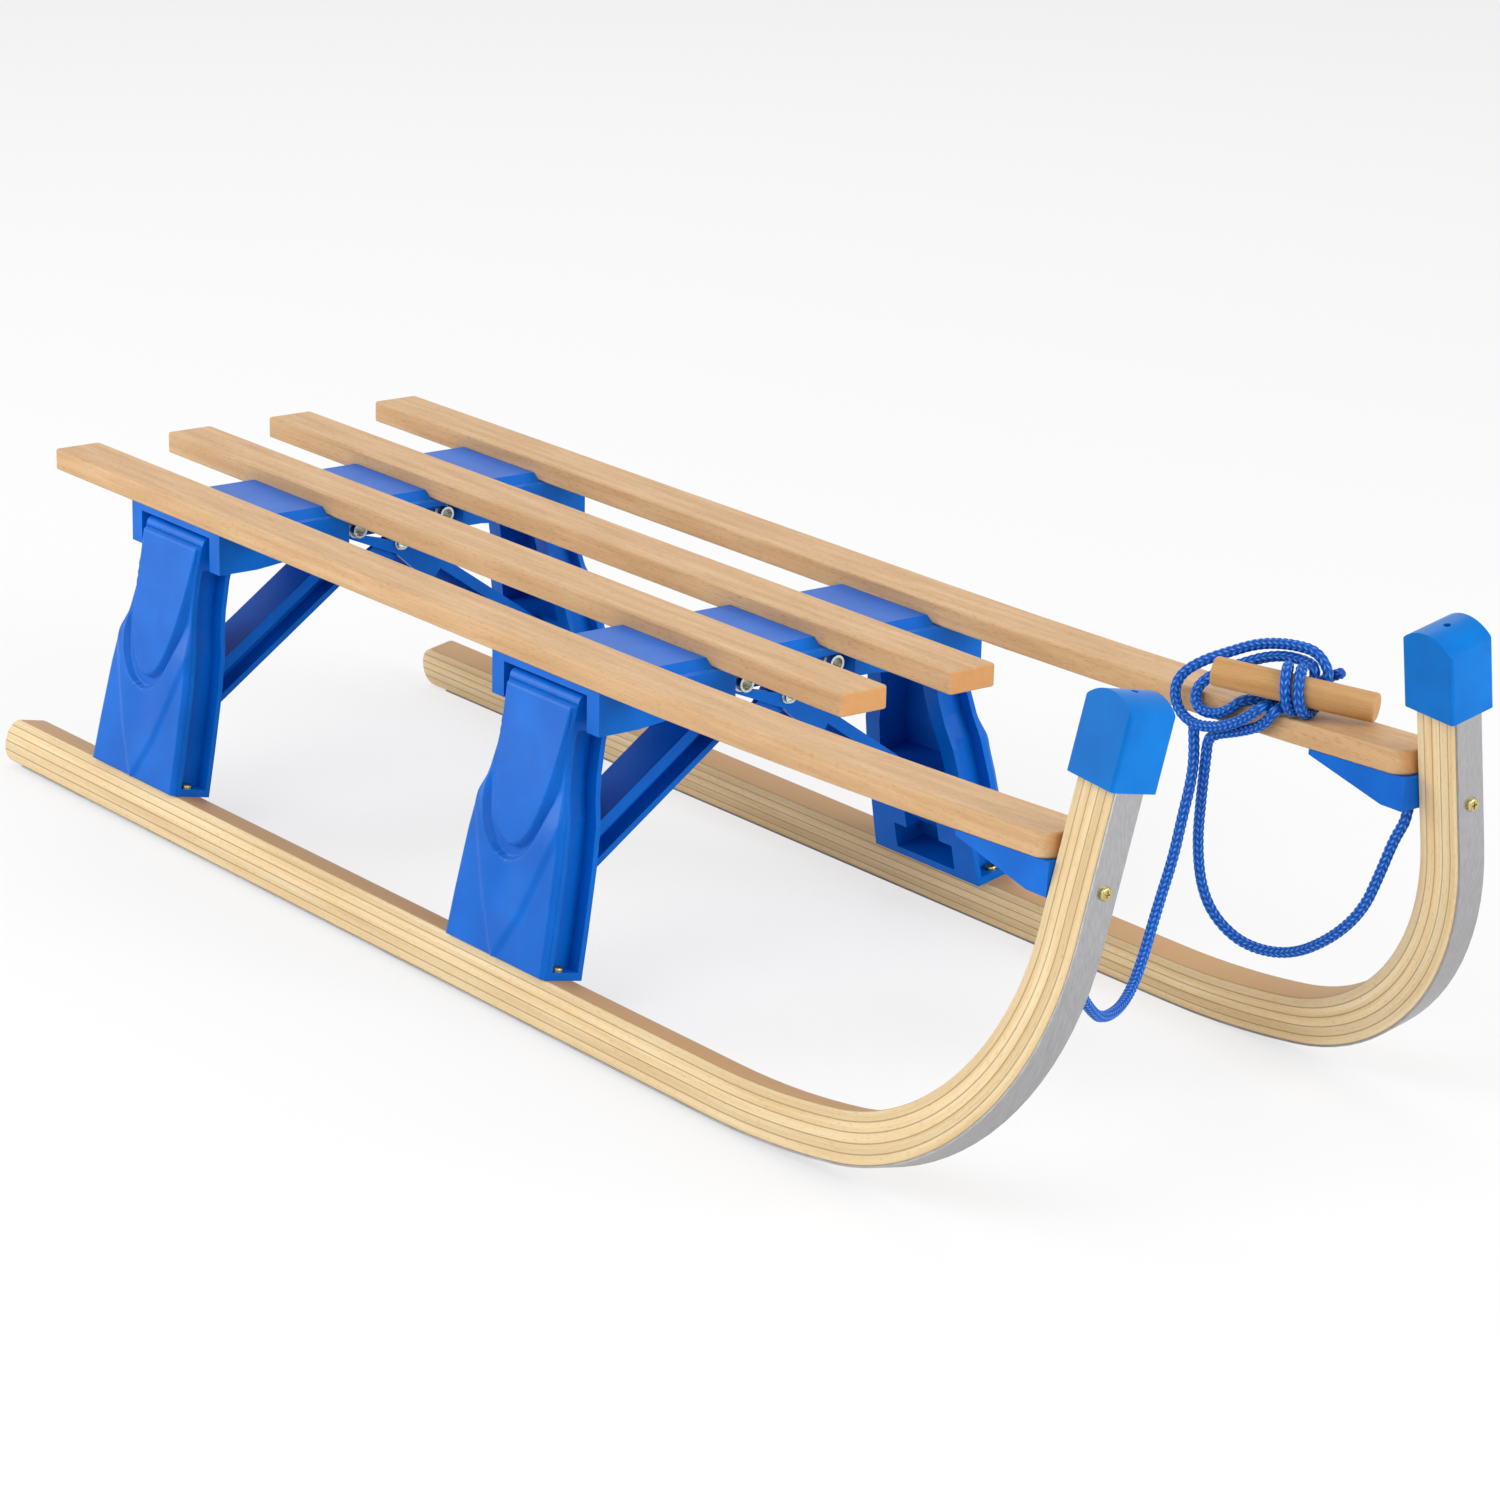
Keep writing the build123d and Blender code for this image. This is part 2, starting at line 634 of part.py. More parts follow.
# Brackets under the noses of the outer slats, screwed to the horns
horn_back_origin = horn_screw_plane.origin - horn_normal * (runner_depth + bracket_gap)
horn_back_plane = Plane(origin=horn_back_origin, x_dir=outward, z_dir=horn_normal)
bracket_width = slat_width - 2 * bracket_side_gap
with BuildPart() as bracket:
    bracket_origin = (x0, -outer_slat_y + bracket_width / 2, 0)
    bracket_plane = Plane(origin=bracket_origin, x_dir=(1, 0, 0), z_dir=(0, -1, 0))
    with BuildSketch(bracket_plane):
        with BuildLine():
            rear_top = under_slat(outer_slat_length - bracket_reach, slat_thickness)
            nose_top = under_slat(outer_slat_length, slat_thickness)
            front = horn_front(horn_top_height)
            ThreePointArc(
                rear_top, under_slat(outer_slat_length - bracket_reach / 2, slat_thickness), nose_top
            )
            Polyline(
                nose_top, (front, nose_top[1]), (front, nose_top[1] - bracket_drop),
                (nose_top[0] - bracket_toe, nose_top[1] - bracket_drop),
                (rear_top[0], rear_top[1] - bracket_tail), rear_top,
            )
        make_face()
    extrude(amount=bracket_width)
    split(bisect_by=horn_back_plane, keep=Keep.BOTTOM)
    with BuildSketch(horn_screw_plane):
        Circle(screw_radius + screw_fit)
    extrude(amount=-horn_screw_length - screw_fit, mode=Mode.SUBTRACT)
    # hole that the end of the tow rope goes into
    bracket_under = nose_top[1] - bracket_drop
    with Locations((x0 + rope_hole_x, -rope_hole_y, bracket_under)):
        Cylinder(
            rope_radius + rope_hole_fit, rope_hole_depth, align=(Align.CENTER, Align.CENTER, Align.MIN),
            mode=Mode.SUBTRACT,
        )
save_pair(bracket, "horn_bracket")


def screw(plane, length):
    """cross-head screw with its head on the plane and its shank behind it"""
    with BuildPart() as result:
        with BuildSketch(plane):
            Circle(screw_radius)
        extrude(amount=-length)
        with BuildSketch(plane):
            Circle(screw_head_radius)
        extrude(amount=screw_head_height)
        fillet(result.faces().sort_by(Axis(plane.origin, plane.z_dir))[-1].edges(), screw_head_height / 2)
        with BuildSketch(plane.offset(screw_head_height)):
            Rectangle(screw_head_radius, screw_slot)
            Rectangle(screw_slot, screw_head_radius)
        extrude(amount=-screw_head_height / 2, mode=Mode.SUBTRACT)
    return result.part


foot_screws = [screw(plane, foot_screw_length) for plane in foot_screw_planes]
foot_screws = foot_screws + [solid.mirror(Plane.XZ) for solid in foot_screws]
save(Compound(foot_screws), "leg_foot_screws")
horn_screw = screw(horn_screw_plane, horn_screw_length)
save(Compound([horn_screw, horn_screw.mirror(Plane.XZ)]), "horn_screws")


def from_slat_end(point):
    return Vector(x0 + outer_slat_length + point[0], point[1], point[2])


# Handle: a round wooden stick
handle_start = from_slat_end(handle_rear)
handle_axis = from_slat_end(handle_front) - handle_start
handle_long = handle_axis.length
handle_dir = handle_axis.normalized()
handle_side = handle_dir.cross(Vector(0, 0, 1)).normalized()
handle_up = handle_side.cross(handle_dir)
with BuildPart() as handle:
    with BuildSketch(Plane(origin=handle_start, x_dir=handle_side, z_dir=handle_dir)):
        Circle(handle_radius)
    extrude(amount=handle_long)
    fillet(handle.edges().filter_by(GeomType.CIRCLE), handle_end_round)
save(handle.part, "handle")


def round_handle(along_handle, angle, radius):
    """point at an angle round the handle, 0 facing the near side and 90 on top"""
    turned = handle_side * cos(radians(angle)) + handle_up * sin(radians(angle))
    return handle_start + handle_dir * along_handle + turned * radius


def handle_wrap(front):
    """points of one wrap round the handle, which crosses its front at `front` along it"""
    lead_radius = handle_radius + rope_radius + wrap_lead_room
    points = [round_handle(front + wrap_pitch * wrap_lead_share, wrap_lead_angle, lead_radius)]
    for step in range(wrap_points):
        part = step / (wrap_points - 1)
        angle = wrap_start_angle + part * (wrap_end_angle - wrap_start_angle)
        radius = handle_radius + rope_radius + wrap_room + wrap_flare * part**8
        reach = front + wrap_pitch * (wrap_start_share + wrap_long_share * part)
        points.append(round_handle(reach, angle, radius))
    return points


# Knot: two loops through two wraps, as one tube from the far strand to the loose end
knot_points = [from_slat_end(point) for point in (
    (-149.5, 105.5, 199.5), (-148.893, 105.24, 203.4), (-143.5, 107, 207.6), (-132, 107.5, 211.3),
    (-118, 107.8, 216.5), (-106, 108.2, 222.5),
)]
knot_points += handle_wrap(first_wrap)
exit_radius = handle_radius + wrap_exit_room
knot_points += [round_handle(first_wrap + wrap_pitch / 2, wrap_exit_angles[0], exit_radius)]
knot_points += [from_slat_end(point) for point in (
    (-95.5, 136.5, 264.3), (-110, 133.5, 265), (-125, 131, 263), (-138, 127, 259.5), (-151, 120.5, 253),
    (-164, 112, 246), (-176, 106.5, 236), (-179.5, 105, 224.5), (-173, 103.5, 214.5), (-159, 102.3, 210.2),
    (-143, 101.8, 212.5), (-129, 101.6, 217.5), (-117, 102.8, 224),
)]
second_wrap = first_wrap - wrap_spread
knot_points += handle_wrap(second_wrap)
knot_points += [round_handle(second_wrap + wrap_pitch / 2, wrap_exit_angles[1], exit_radius)]
knot_points += [from_slat_end(point) for point in (
    (-104, 137, 256.2), (-117, 133, 257), (-130, 128.8, 253.8), (-142, 121.5, 247.8), (-155, 114.5, 240.5),
    (-164, 109.5, 231.5), (-165, 108, 223), (-158, 107.5, 217.3), (-144, 107.8, 219), (-134, 108.3, 225),
    (-128.5, 110.8, 231.2), (-120, 121, 232.3), (-113, 133, 234.5), (-105, 143.5, 240), (-95.5, 148, 247.5),
    (-84.5, 147.5, 252.5),
)]


def smooth_directions(points):
    """direction of travel at each point, leaning to the shorter of its two runs"""
    runs = [after - before for before, after in zip(points, points[1:])]
    middle = [
        (before.normalized() * after.length + after.normalized() * before.length).normalized()
        for before, after in zip(runs, runs[1:])
    ]
    return [runs[0].normalized()] + middle + [runs[-1].normalized()]


def biarc(start, start_dir, end, end_dir):
    """two arcs that leave one point and reach the next in the given directions"""
    run = end - start
    both = start_dir + end_dir
    bend = 2 * (1 - start_dir.dot(end_dir))
    if bend < 1e-9:
        reach = run.dot(run) / (4 * run.dot(start_dir))
    else:
        reach = (sqrt(run.dot(both) ** 2 + bend * run.dot(run)) - run.dot(both)) / bend
    joint = (start + end + (start_dir - end_dir) * reach) / 2
    first = Edge.make_tangent_arc(start, start_dir, joint)
    return [first, Edge.make_tangent_arc(joint, first.tangent_at(1), end)]


def tube(path):
    """closed round tube of the rope's size along a path"""
    with BuildPart() as result:
        with BuildSketch(Plane(origin=path.position_at(0), z_dir=path.tangent_at(0))):
            Circle(rope_radius)
        sweep(path=path)
    return result.part


def least_self_gap(path, steps):
    """least gap between stretches of a tube that are apart along it"""
    points = [path.position_at(step / steps) for step in range(steps + 1)]
    apart = int(6 * rope_radius / path.length * steps)
    return min(
        (points[first] - points[second]).length
        for first in range(steps)
        for second in range(first + apart, steps + 1)
    ) - 2 * rope_radius


knot_dirs = smooth_directions(knot_points)
knot_edges = []
for start, start_dir, end, end_dir in zip(knot_points, knot_dirs, knot_points[1:], knot_dirs[1:]):
    knot_edges += biarc(start, start_dir, end, end_dir)
knot_path = Wire(knot_edges)
save(tube(knot_path), "rope_knot")
least_gap = least_self_gap(knot_path, 900)
print("knot: length", round(knot_path.length, 1), "least gap to itself", round(least_gap, 2))

# Free strands from the knot to the brackets
far_strand = [from_slat_end(point) for point in (
    (-rope_hole_back, rope_hole_y, seat_under - rope_end_drop),
    (-6.3, 127, 190.5), (-15.7, 127, 175.6), (-24, 126, 153),
    (-35, 125, 127), (-57, 123, 104), (-88.1, 121, 85), (-121.8, 118, 81.3), (-144.6, 115, 91.6),
    (-155.3, 112, 109.1), (-158.5, 110, 136), (-155, 108, 165), (-151.6, 106.4, 186), (-149.5, 105.5, 199.5),
)]
near_strand = [from_slat_end(point) for point in (
    (-rope_hole_back, -rope_hole_y, seat_under - rope_end_drop),
    (-6.4, -126.6, 188), (-15, -116, 160), (-26, -100, 133),
    (-38.6, -78.1, 109.8), (-55.8, -52.4, 92), (-82, -13, 83.5), (-103, 17.5, 91), (-124, 48.5, 117),
    (-140.5, 74.7, 138.5), (-147.5, 86.5, 158.3), (-151.5, 96, 178), (-155.5, 101.5, 193), (-158.6, 102.8, 206.1),
)]
for name, points in (("far", far_strand), ("near", near_strand)):
    radii = []
    for before, point, after in zip(points, points[1:], points[2:]):
        turn = radians((point - before).get_angle(after - point))
        radii.append(0.45 * min((point - before).length, (after - point).length) / tan(turn / 2))
    with BuildLine() as strand_line:
        FilletPolyline(*points, radius=radii)
    strand = tube(strand_line.wire())
    section = strand.volume / strand_line.wire().length
    print(name, "strand: length", round(strand_line.wire().length, 1), "section", round(section, 2))
    print("  bend radii", [round(radius) for radius in radii])
    save(strand, "rope_" + name + "_strand")
print("frame shift x0", round(x0, 2), "underside of the brackets", round(bracket_under, 2))
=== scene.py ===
# Wooden sledge dressed for rendering: beech slats, laminated runners, moulded blue plastic, braided rope.
# The CAD part is loaded, some nodes are replaced by finer meshes, and the rest get materials and soft edges.
import math
import bpy
from mathutils import Vector, Matrix


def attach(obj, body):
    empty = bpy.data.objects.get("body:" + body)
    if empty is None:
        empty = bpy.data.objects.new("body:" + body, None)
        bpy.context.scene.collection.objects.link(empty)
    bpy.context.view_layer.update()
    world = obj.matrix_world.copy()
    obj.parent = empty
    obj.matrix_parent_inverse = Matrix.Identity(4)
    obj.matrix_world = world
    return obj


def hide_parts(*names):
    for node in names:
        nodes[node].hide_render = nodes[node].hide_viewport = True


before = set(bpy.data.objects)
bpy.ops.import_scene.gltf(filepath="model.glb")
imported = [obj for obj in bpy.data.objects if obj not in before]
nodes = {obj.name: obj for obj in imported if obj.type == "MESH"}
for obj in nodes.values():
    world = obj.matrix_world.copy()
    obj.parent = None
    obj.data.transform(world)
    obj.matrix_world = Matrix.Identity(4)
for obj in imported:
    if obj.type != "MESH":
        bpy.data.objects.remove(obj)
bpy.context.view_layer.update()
mm = 0.001
xShift = -535.69  # x of the seat's rear in the frame, in mm
sides = (("near", -1), ("far", 1))
print("CAD part loaded")


# sRGB hex text to the linear colour that Blender's sockets take
def linearColour(hexText):
    channels = [int(hexText[i:i + 2], 16) / 255 for i in (1, 3, 5)]
    return [c / 12.92 if c <= 0.04045 else ((c + 0.055) / 1.055) ** 2.4 for c in channels] + [1.0]


# Camera, fitted to the photo: place in metres, angles in radians, lens in mm
camera = {
    "place": (2.3326, -1.7639, 1.0413), "yaw": 2.4819, "pitch": -0.3045, "roll": 0.0227,
    "lens": 117.4, "sensor": 36.0, "farthest": 50,
}
yaw, pitch, roll = camera["yaw"], camera["pitch"], camera["roll"]
ahead = Vector((math.cos(pitch) * math.cos(yaw), math.cos(pitch) * math.sin(yaw), math.sin(pitch)))
level = Vector((math.sin(yaw), -math.cos(yaw), 0))
upright = level.cross(ahead)
rightwards = level * math.cos(roll) + upright * math.sin(roll)
upwards = upright * math.cos(roll) - level * math.sin(roll)
cameraData = bpy.data.cameras.new("photoCamera")
cameraData.lens = camera["lens"]
cameraData.sensor_width = camera["sensor"]
cameraData.clip_end = camera["farthest"]
cameraObject = bpy.data.objects.new("photoCamera", cameraData)
turned = Matrix((rightwards, upwards, -ahead)).transposed().to_4x4()
cameraObject.matrix_world = Matrix.Translation(camera["place"]) @ turned
bpy.context.collection.objects.link(cameraObject)
bpy.context.scene.camera = cameraObject
bpy.context.scene.view_settings.view_transform = "Standard"


# Adds one node with its settings. A link is named after its socket, with _ for a space, or i and the
# socket's number, and holds a plain value or another node's socket.
def addNode(tree, kind, settings=None, **links):
    node = tree.nodes.new(kind)
    for name, value in (settings or {}).items():
        setattr(node, name, value)
    for name, value in links.items():
        numbered = name[0] == "i" and name[1:].isdigit()
        socket = node.inputs[int(name[1:])] if numbered else node.inputs[name.replace("_", " ")]
        if isinstance(value, bpy.types.NodeSocket):
            tree.links.new(value, socket)
        else:
            socket.default_value = value
    return node


# Large soft disks round the sledge, in metres and watts, and a white sky
lighting = {
    "keyPlace": (0.9, -2.8, 2.6), "keySize": 2.4, "keyPower": 44,
    "fillPlace": (3.2, 0.9, 1.5), "fillSize": 2.2, "fillPower": 66,
    "backPlace": (-2.2, 1.4, 2.6), "backSize": 2.4, "backPower": 14,
    "sidePlace": (-2.3, -2.1, 1.05), "sideSize": 1.7, "sidePower": 34,
    "aim": (0, 0, 0.1), "skyStrength": 0.6,
}
for name in ("key", "fill", "back", "side"):
    lampData = bpy.data.lights.new(name + "Lamp", "AREA")
    lampData.shape = "DISK"
    lampData.size = lighting[name + "Size"]
    lampData.energy = lighting[name + "Power"]
    lamp = bpy.data.objects.new(name + "Lamp", lampData)
    place = Vector(lighting[name + "Place"])
    aim = (place - Vector(lighting["aim"])).to_track_quat("Z", "Y")
    lamp.matrix_world = Matrix.Translation(place) @ aim.to_matrix().to_4x4()
    bpy.context.collection.objects.link(lamp)

# The sky is plain white where the camera, a reflection or a clear view meets it, and dimmer as a light
world = bpy.data.worlds.new("studio")
bpy.context.scene.world = world
world.use_nodes = True
sky = world.node_tree
sky.nodes.clear()
rays = addNode(sky, "ShaderNodeLightPath").outputs
seen = addNode(
    sky, "ShaderNodeMath", {"operation": "MAXIMUM"}, i0=rays["Is Camera Ray"], i1=rays["Is Transmission Ray"])
seen = addNode(
    sky, "ShaderNodeMath", {"operation": "MAXIMUM"}, i0=seen.outputs[0], i1=rays["Is Glossy Ray"])
soft = addNode(
    sky, "ShaderNodeBackground", None, Color=linearColour("#FFFFFF"), Strength=lighting["skyStrength"])
white = addNode(sky, "ShaderNodeBackground", None, Color=linearColour("#FFFFFF"), Strength=1.0)
mixed = addNode(sky, "ShaderNodeMixShader", None, Fac=seen.outputs[0], i1=soft.outputs[0], i2=white.outputs[0])
addNode(sky, "ShaderNodeOutputWorld", None, Surface=mixed.outputs[0])
print("camera and light done")


def newMaterial(name):
    material = bpy.data.materials.new(name)
    material.use_nodes = True
    tree = material.node_tree
    tree.nodes.clear()
    return material, tree


# Principled shader and output; the fixed values go straight onto the shader's own sockets
def finishMaterial(tree, colour, roughness, relief, **fixed):
    shader = addNode(tree, "ShaderNodeBsdfPrincipled", None, Base_Color=colour, Roughness=roughness)
    for name, value in fixed.items():
        shader.inputs[name.replace("_", " ")].default_value = value
    tree.links.new(relief, shader.inputs["Normal"])
    addNode(tree, "ShaderNodeOutputMaterial", None, Surface=shader.outputs[0])


# Colours by a value, from (place, hex text) stops
def ramp(tree, value, stops):
    node = addNode(tree, "ShaderNodeValToRGB", None, Fac=value)
    band = node.color_ramp
    while len(band.elements) < len(stops):
        band.elements.new(0.5)
    for element, (place, colour) in zip(band.elements, stops):
        element.position = place
        element.color = linearColour(colour)
    return node.outputs["Color"]


def mixColours(tree, blend, share, first, second):
    settings = {"data_type": "RGBA", "blend_type": blend}
    node = addNode(tree, "ShaderNodeMix", settings, i0=share, i6=first, i7=second)
    return node.outputs[2]


# One number as a grey colour, to multiply others by
def greyOf(tree, value):
    return addNode(tree, "ShaderNodeCombineColor", None, Red=value, Green=value, Blue=value).outputs[0]


# Handle stick, in mm from the seat's rear, and how the rope's two wraps run round it
handle = {
    "rear": (905.6, 93.5, 250.2), "front": (990.3, 141.2, 241.2), "radius": 8.75, "ropeHalf": 2.9,
    "firstWrap": 54.5, "spread": 8.0, "pitch": 16.0, "room": 0.6, "flare": 1.2, "points": 12,
    "startAngle": -95, "endAngle": -560, "startShare": -0.72, "longShare": 1.28,
    "leadAngle": -62, "leadShare": -0.84, "leadRoom": 2.4, "exitAngles": (142, 147), "exitRoom": 3.4,
}
handleStart = Vector(handle["rear"])
handleDir = (Vector(handle["front"]) - handleStart).normalized()

# Beech is an even, pale wood with short dark pore flecks along the grain. It is planed or turned, then
# thinly varnished, so it shows a broad dull sheen. Sizes of the grain in metres.
wood = {
    "long": 90 * mm, "band": 7 * mm,  # slow changes of tone
    "streak": 1.1 * mm,  # fibres
    "fleck": 5.5 * mm, "fleckWide": 0.75 * mm,  # pores, drawn about twice too coarse so that they show
    "fleckShare": 0.42, "roughness": 0.5, "ior": 1.5, "specular": 0.3,
}


# Beech by tones and flecks; the grain runs along X of the object once turned, or along U
def beechMaterial(name, grain, tones, flecks, turn=(0, 0, 0), fromUv=False):
    material, tree = newMaterial(name)
    where = addNode(tree, "ShaderNodeTexCoord").outputs["UV" if fromUv else "Object"]
    spread = addNode(tree, "ShaderNodeMapping", None, Vector=where, Rotation=turn).outputs[0]

    def stretched(long, wide):
        scale = (1 / long, 1 / wide, 1 / wide)
        return addNode(tree, "ShaderNodeMapping", None, Vector=spread, Scale=scale).outputs[0]

    bands = stretched(grain["long"], grain["band"])
    broad = addNode(tree, "ShaderNodeTexNoise", None, Vector=bands, Scale=1.0, Detail=4.0, Roughness=0.55)
    tone = ramp(tree, broad.outputs[0], [(0.3, tones[0]), (0.52, tones[1]), (0.72, tones[2])])
    fine = stretched(grain["fleck"], grain["fleckWide"])
    pores = addNode(tree, "ShaderNodeTexNoise", None, Vector=fine, Scale=1.0, Detail=1.0, Roughness=0.4)
    dots = addNode(tree, "ShaderNodeMapRange", None, Value=pores.outputs[0], From_Min=0.60, From_Max=0.74)
    shade = addNode(
        tree, "ShaderNodeMath", {"operation": "MULTIPLY"}, i0=dots.outputs[0], i1=grain["fleckShare"])
    colour = mixColours(tree, "MIX", shade.outputs[0], tone, linearColour(flecks))
    streaks = stretched(4 * grain["long"], grain["streak"])
    lines = addNode(tree, "ShaderNodeTexNoise", None, Vector=streaks, Scale=1.0, Detail=3.0)
    veil = addNode(
        tree, "ShaderNodeMapRange", None, Value=lines.outputs[0],
        From_Min=0.35, From_Max=0.7, To_Min=0.93, To_Max=1.05)
    colour = mixColours(tree, "MULTIPLY", 1.0, colour, greyOf(tree, veil.outputs[0]))
    relief = addNode(tree, "ShaderNodeBump", None, Height=lines.outputs[0], Strength=0.12, Distance=0.2 * mm)
    return material, tree, colour, relief.outputs[0]


def varnish(tree, colour, relief):
    finishMaterial(
        tree, colour, wood["roughness"], relief, IOR=wood["ior"], Specular_IOR_Level=wood["specular"])


# Planed beech of the seat slats; the sawn ends are darker, because end grain soaks up varnish
slatWood, tree, colour, relief = beechMaterial(
    "planedBeechSlat", wood, ("#C2986A", "#CDA577", "#D6B186"), "#96683C")
facing = addNode(tree, "ShaderNodeNewGeometry").outputs["Normal"]
facingParts = addNode(tree, "ShaderNodeSeparateXYZ", None, Vector=facing)
endOn = addNode(tree, "ShaderNodeMath", {"operation": "ABSOLUTE"}, i0=facingParts.outputs[0])
endGrain = addNode(
    tree, "ShaderNodeMapRange", None, Value=endOn.outputs[0], From_Min=0.55, From_Max=0.95, To_Max=0.75)
colour = mixColours(tree, "MIX", endGrain.outputs[0], colour, linearColour("#CC8F52"))
varnish(tree, colour, relief)

# Turned beech stick, its grain along its own length
turnToX = handleDir.rotation_difference(Vector((1, 0, 0))).to_euler()
handleWood, tree, colour, relief = beechMaterial(
    "turnedBeechHandle", wood | {"fleckShare": 0.25},
    ("#B58650", "#C1935D", "#CC9F6A"), "#96683A", turn=tuple(turnToX))
varnish(tree, colour, relief)

# Steam-bent beech plies, glued: each has its own tone, with brown glue lines between, and the top one is
# darker face wood. U runs along the bend and V across the plies, in metres.
plies = {
    "count": 5, "deep": 30.1 * mm, "glueShare": 0.2, "glueTone": "#8E6C40", "glueStrength": 0.72,
    "faceTone": "#C79B69", "faceStrength": 0.8,
}
runnerWood, tree, colour, relief = beechMaterial(
    "laminatedBeechRunner", wood | {"fleckShare": 0.35, "long": 160 * mm},
    ("#D9BA88", "#E5CB9D", "#EDD8B0"), "#A8845A", fromUv=True)
uv = addNode(tree, "ShaderNodeTexCoord").outputs["UV"]
across = addNode(tree, "ShaderNodeSeparateXYZ", None, Vector=uv).outputs[1]
plyPlace = addNode(
    tree, "ShaderNodeMath", {"operation": "DIVIDE"}, i0=across, i1=plies["deep"] / plies["count"])
plyIndex = addNode(tree, "ShaderNodeMath", {"operation": "FLOOR"}, i0=plyPlace.outputs[0])
plyTone = addNode(tree, "ShaderNodeTexWhiteNoise", {"noise_dimensions": "1D"}, W=plyIndex.outputs[0])
toneStep = addNode(tree, "ShaderNodeMapRange", None, Value=plyTone.outputs[0], To_Min=0.92, To_Max=1.04)
colour = mixColours(tree, "MULTIPLY", 1.0, colour, greyOf(tree, toneStep.outputs[0]))
fromJoint = addNode(tree, "ShaderNodeMath", {"operation": "PINGPONG"}, i0=plyPlace.outputs[0], i1=0.5)
glue = addNode(
    tree, "ShaderNodeMapRange", None, Value=fromJoint.outputs[0],
    From_Min=plies["glueShare"] / 2, From_Max=0.02, To_Min=0.0, To_Max=plies["glueStrength"])
colour = mixColours(tree, "MIX", glue.outputs[0], colour, linearColour(plies["glueTone"]))
outside = addNode(
    tree, "ShaderNodeMapRange", None, Value=across,
    From_Min=plies["deep"] * 0.995, From_Max=plies["deep"], To_Max=plies["faceStrength"])
colour = mixColours(tree, "MIX", outside.outputs[0], colour, linearColour(plies["faceTone"]))
varnish(tree, colour, relief)


plasticIor = 1.49  # polypropylene


# Injection-moulded polypropylene: even colour, slightly cloudy, with a very fine texture from the mould
# that spreads the highlights
def mouldedPlastic(name, plastic):
    material, tree = newMaterial(name)
    where = addNode(tree, "ShaderNodeTexCoord").outputs["Object"]
    cloud = addNode(tree, "ShaderNodeTexNoise", None, Vector=where, Scale=1 / plastic["cloud"], Detail=3.0)
    colour = ramp(tree, cloud.outputs[0], list(zip((0.3, 0.5, 0.7), plastic["tones"])))
    pitting = addNode(tree, "ShaderNodeTexNoise", None, Vector=where, Scale=1 / plastic["grit"], Detail=2.0)
    rough = addNode(
        tree, "ShaderNodeMapRange", None, Value=pitting.outputs[0],
        To_Min=plastic["roughness"] - 0.05, To_Max=plastic["roughness"] + 0.07)
    relief = addNode(
        tree, "ShaderNodeBump", None, Height=pitting.outputs[0], Strength=plastic["pitting"], Distance=0.2 * mm)
    finishMaterial(
        tree, colour, rough.outputs[0], relief.outputs[0],
        IOR=plasticIor, Specular_IOR_Level=plastic["specular"])
    return material


framePlastic = mouldedPlastic("mouldedBluePolypropylene", {
    "tones": ("#005CBC", "#0063C6", "#006AD0"), "cloud": 40 * mm, "grit": 1.1 * mm,
    "roughness": 0.32, "pitting": 0.08, "specular": 0.14,
})
capPlastic = mouldedPlastic("mouldedLightBlueCap", {  # the same plastic in a paler blue
    "tones": ("#0064B6", "#006CC0", "#0074CA"), "cloud": 40 * mm, "grit": 1.4 * mm,
    "roughness": 0.3, "pitting": 0.05, "specular": 0.12,
})


# Metal with fine marks along X, left by rolling or turning, which draw the highlights out
def markedMetal(name, metal):
    material, tree = newMaterial(name)
    where = addNode(tree, "ShaderNodeTexCoord").outputs["Object"]
    scale = (1 / (30 * metal["mark"]), 1 / metal["mark"], 1 / (6 * metal["mark"]))
    drawn = addNode(tree, "ShaderNodeMapping", None, Vector=where, Scale=scale)
    marks = addNode(tree, "ShaderNodeTexNoise", None, Vector=drawn.outputs[0], Scale=1.0, Detail=4.0)
    colour = ramp(tree, marks.outputs[0], list(zip((0.3, 0.5, 0.7), metal["tones"])))
    rough = addNode(
        tree, "ShaderNodeMapRange", None, Value=marks.outputs[0],
        To_Min=metal["roughness"] - 0.08, To_Max=metal["roughness"] + 0.1)
    relief = addNode(tree, "ShaderNodeBump", None, Height=marks.outputs[0], Strength=0.06, Distance=0.1 * mm)
    finishMaterial(tree, colour, rough.outputs[0], relief.outputs[0], Metallic=1.0)
    return material


# Rolled steel strip with a dull zinc coat
stripSteel = markedMetal("rolledGalvanisedStrip", {
    "tones": ("#A0A0A2", "#A8A8AA", "#B0B0B2"), "roughness": 0.36, "mark": 1.2 * mm})
# Pressed steel rivets, nickel plated: bright and slightly warm
rivetSteel = markedMetal("nickelPlatedRivet", {
    "tones": ("#BDC1BA", "#D0D4CC", "#DDE0DA"), "roughness": 0.24, "mark": 1.0 * mm})
# Steel screws passivated yellow
screwSteel = markedMetal("yellowZincScrew", {
    "tones": ("#A8975E", "#BFAE76", "#D2C492"), "roughness": 0.3, "mark": 1.0 * mm})

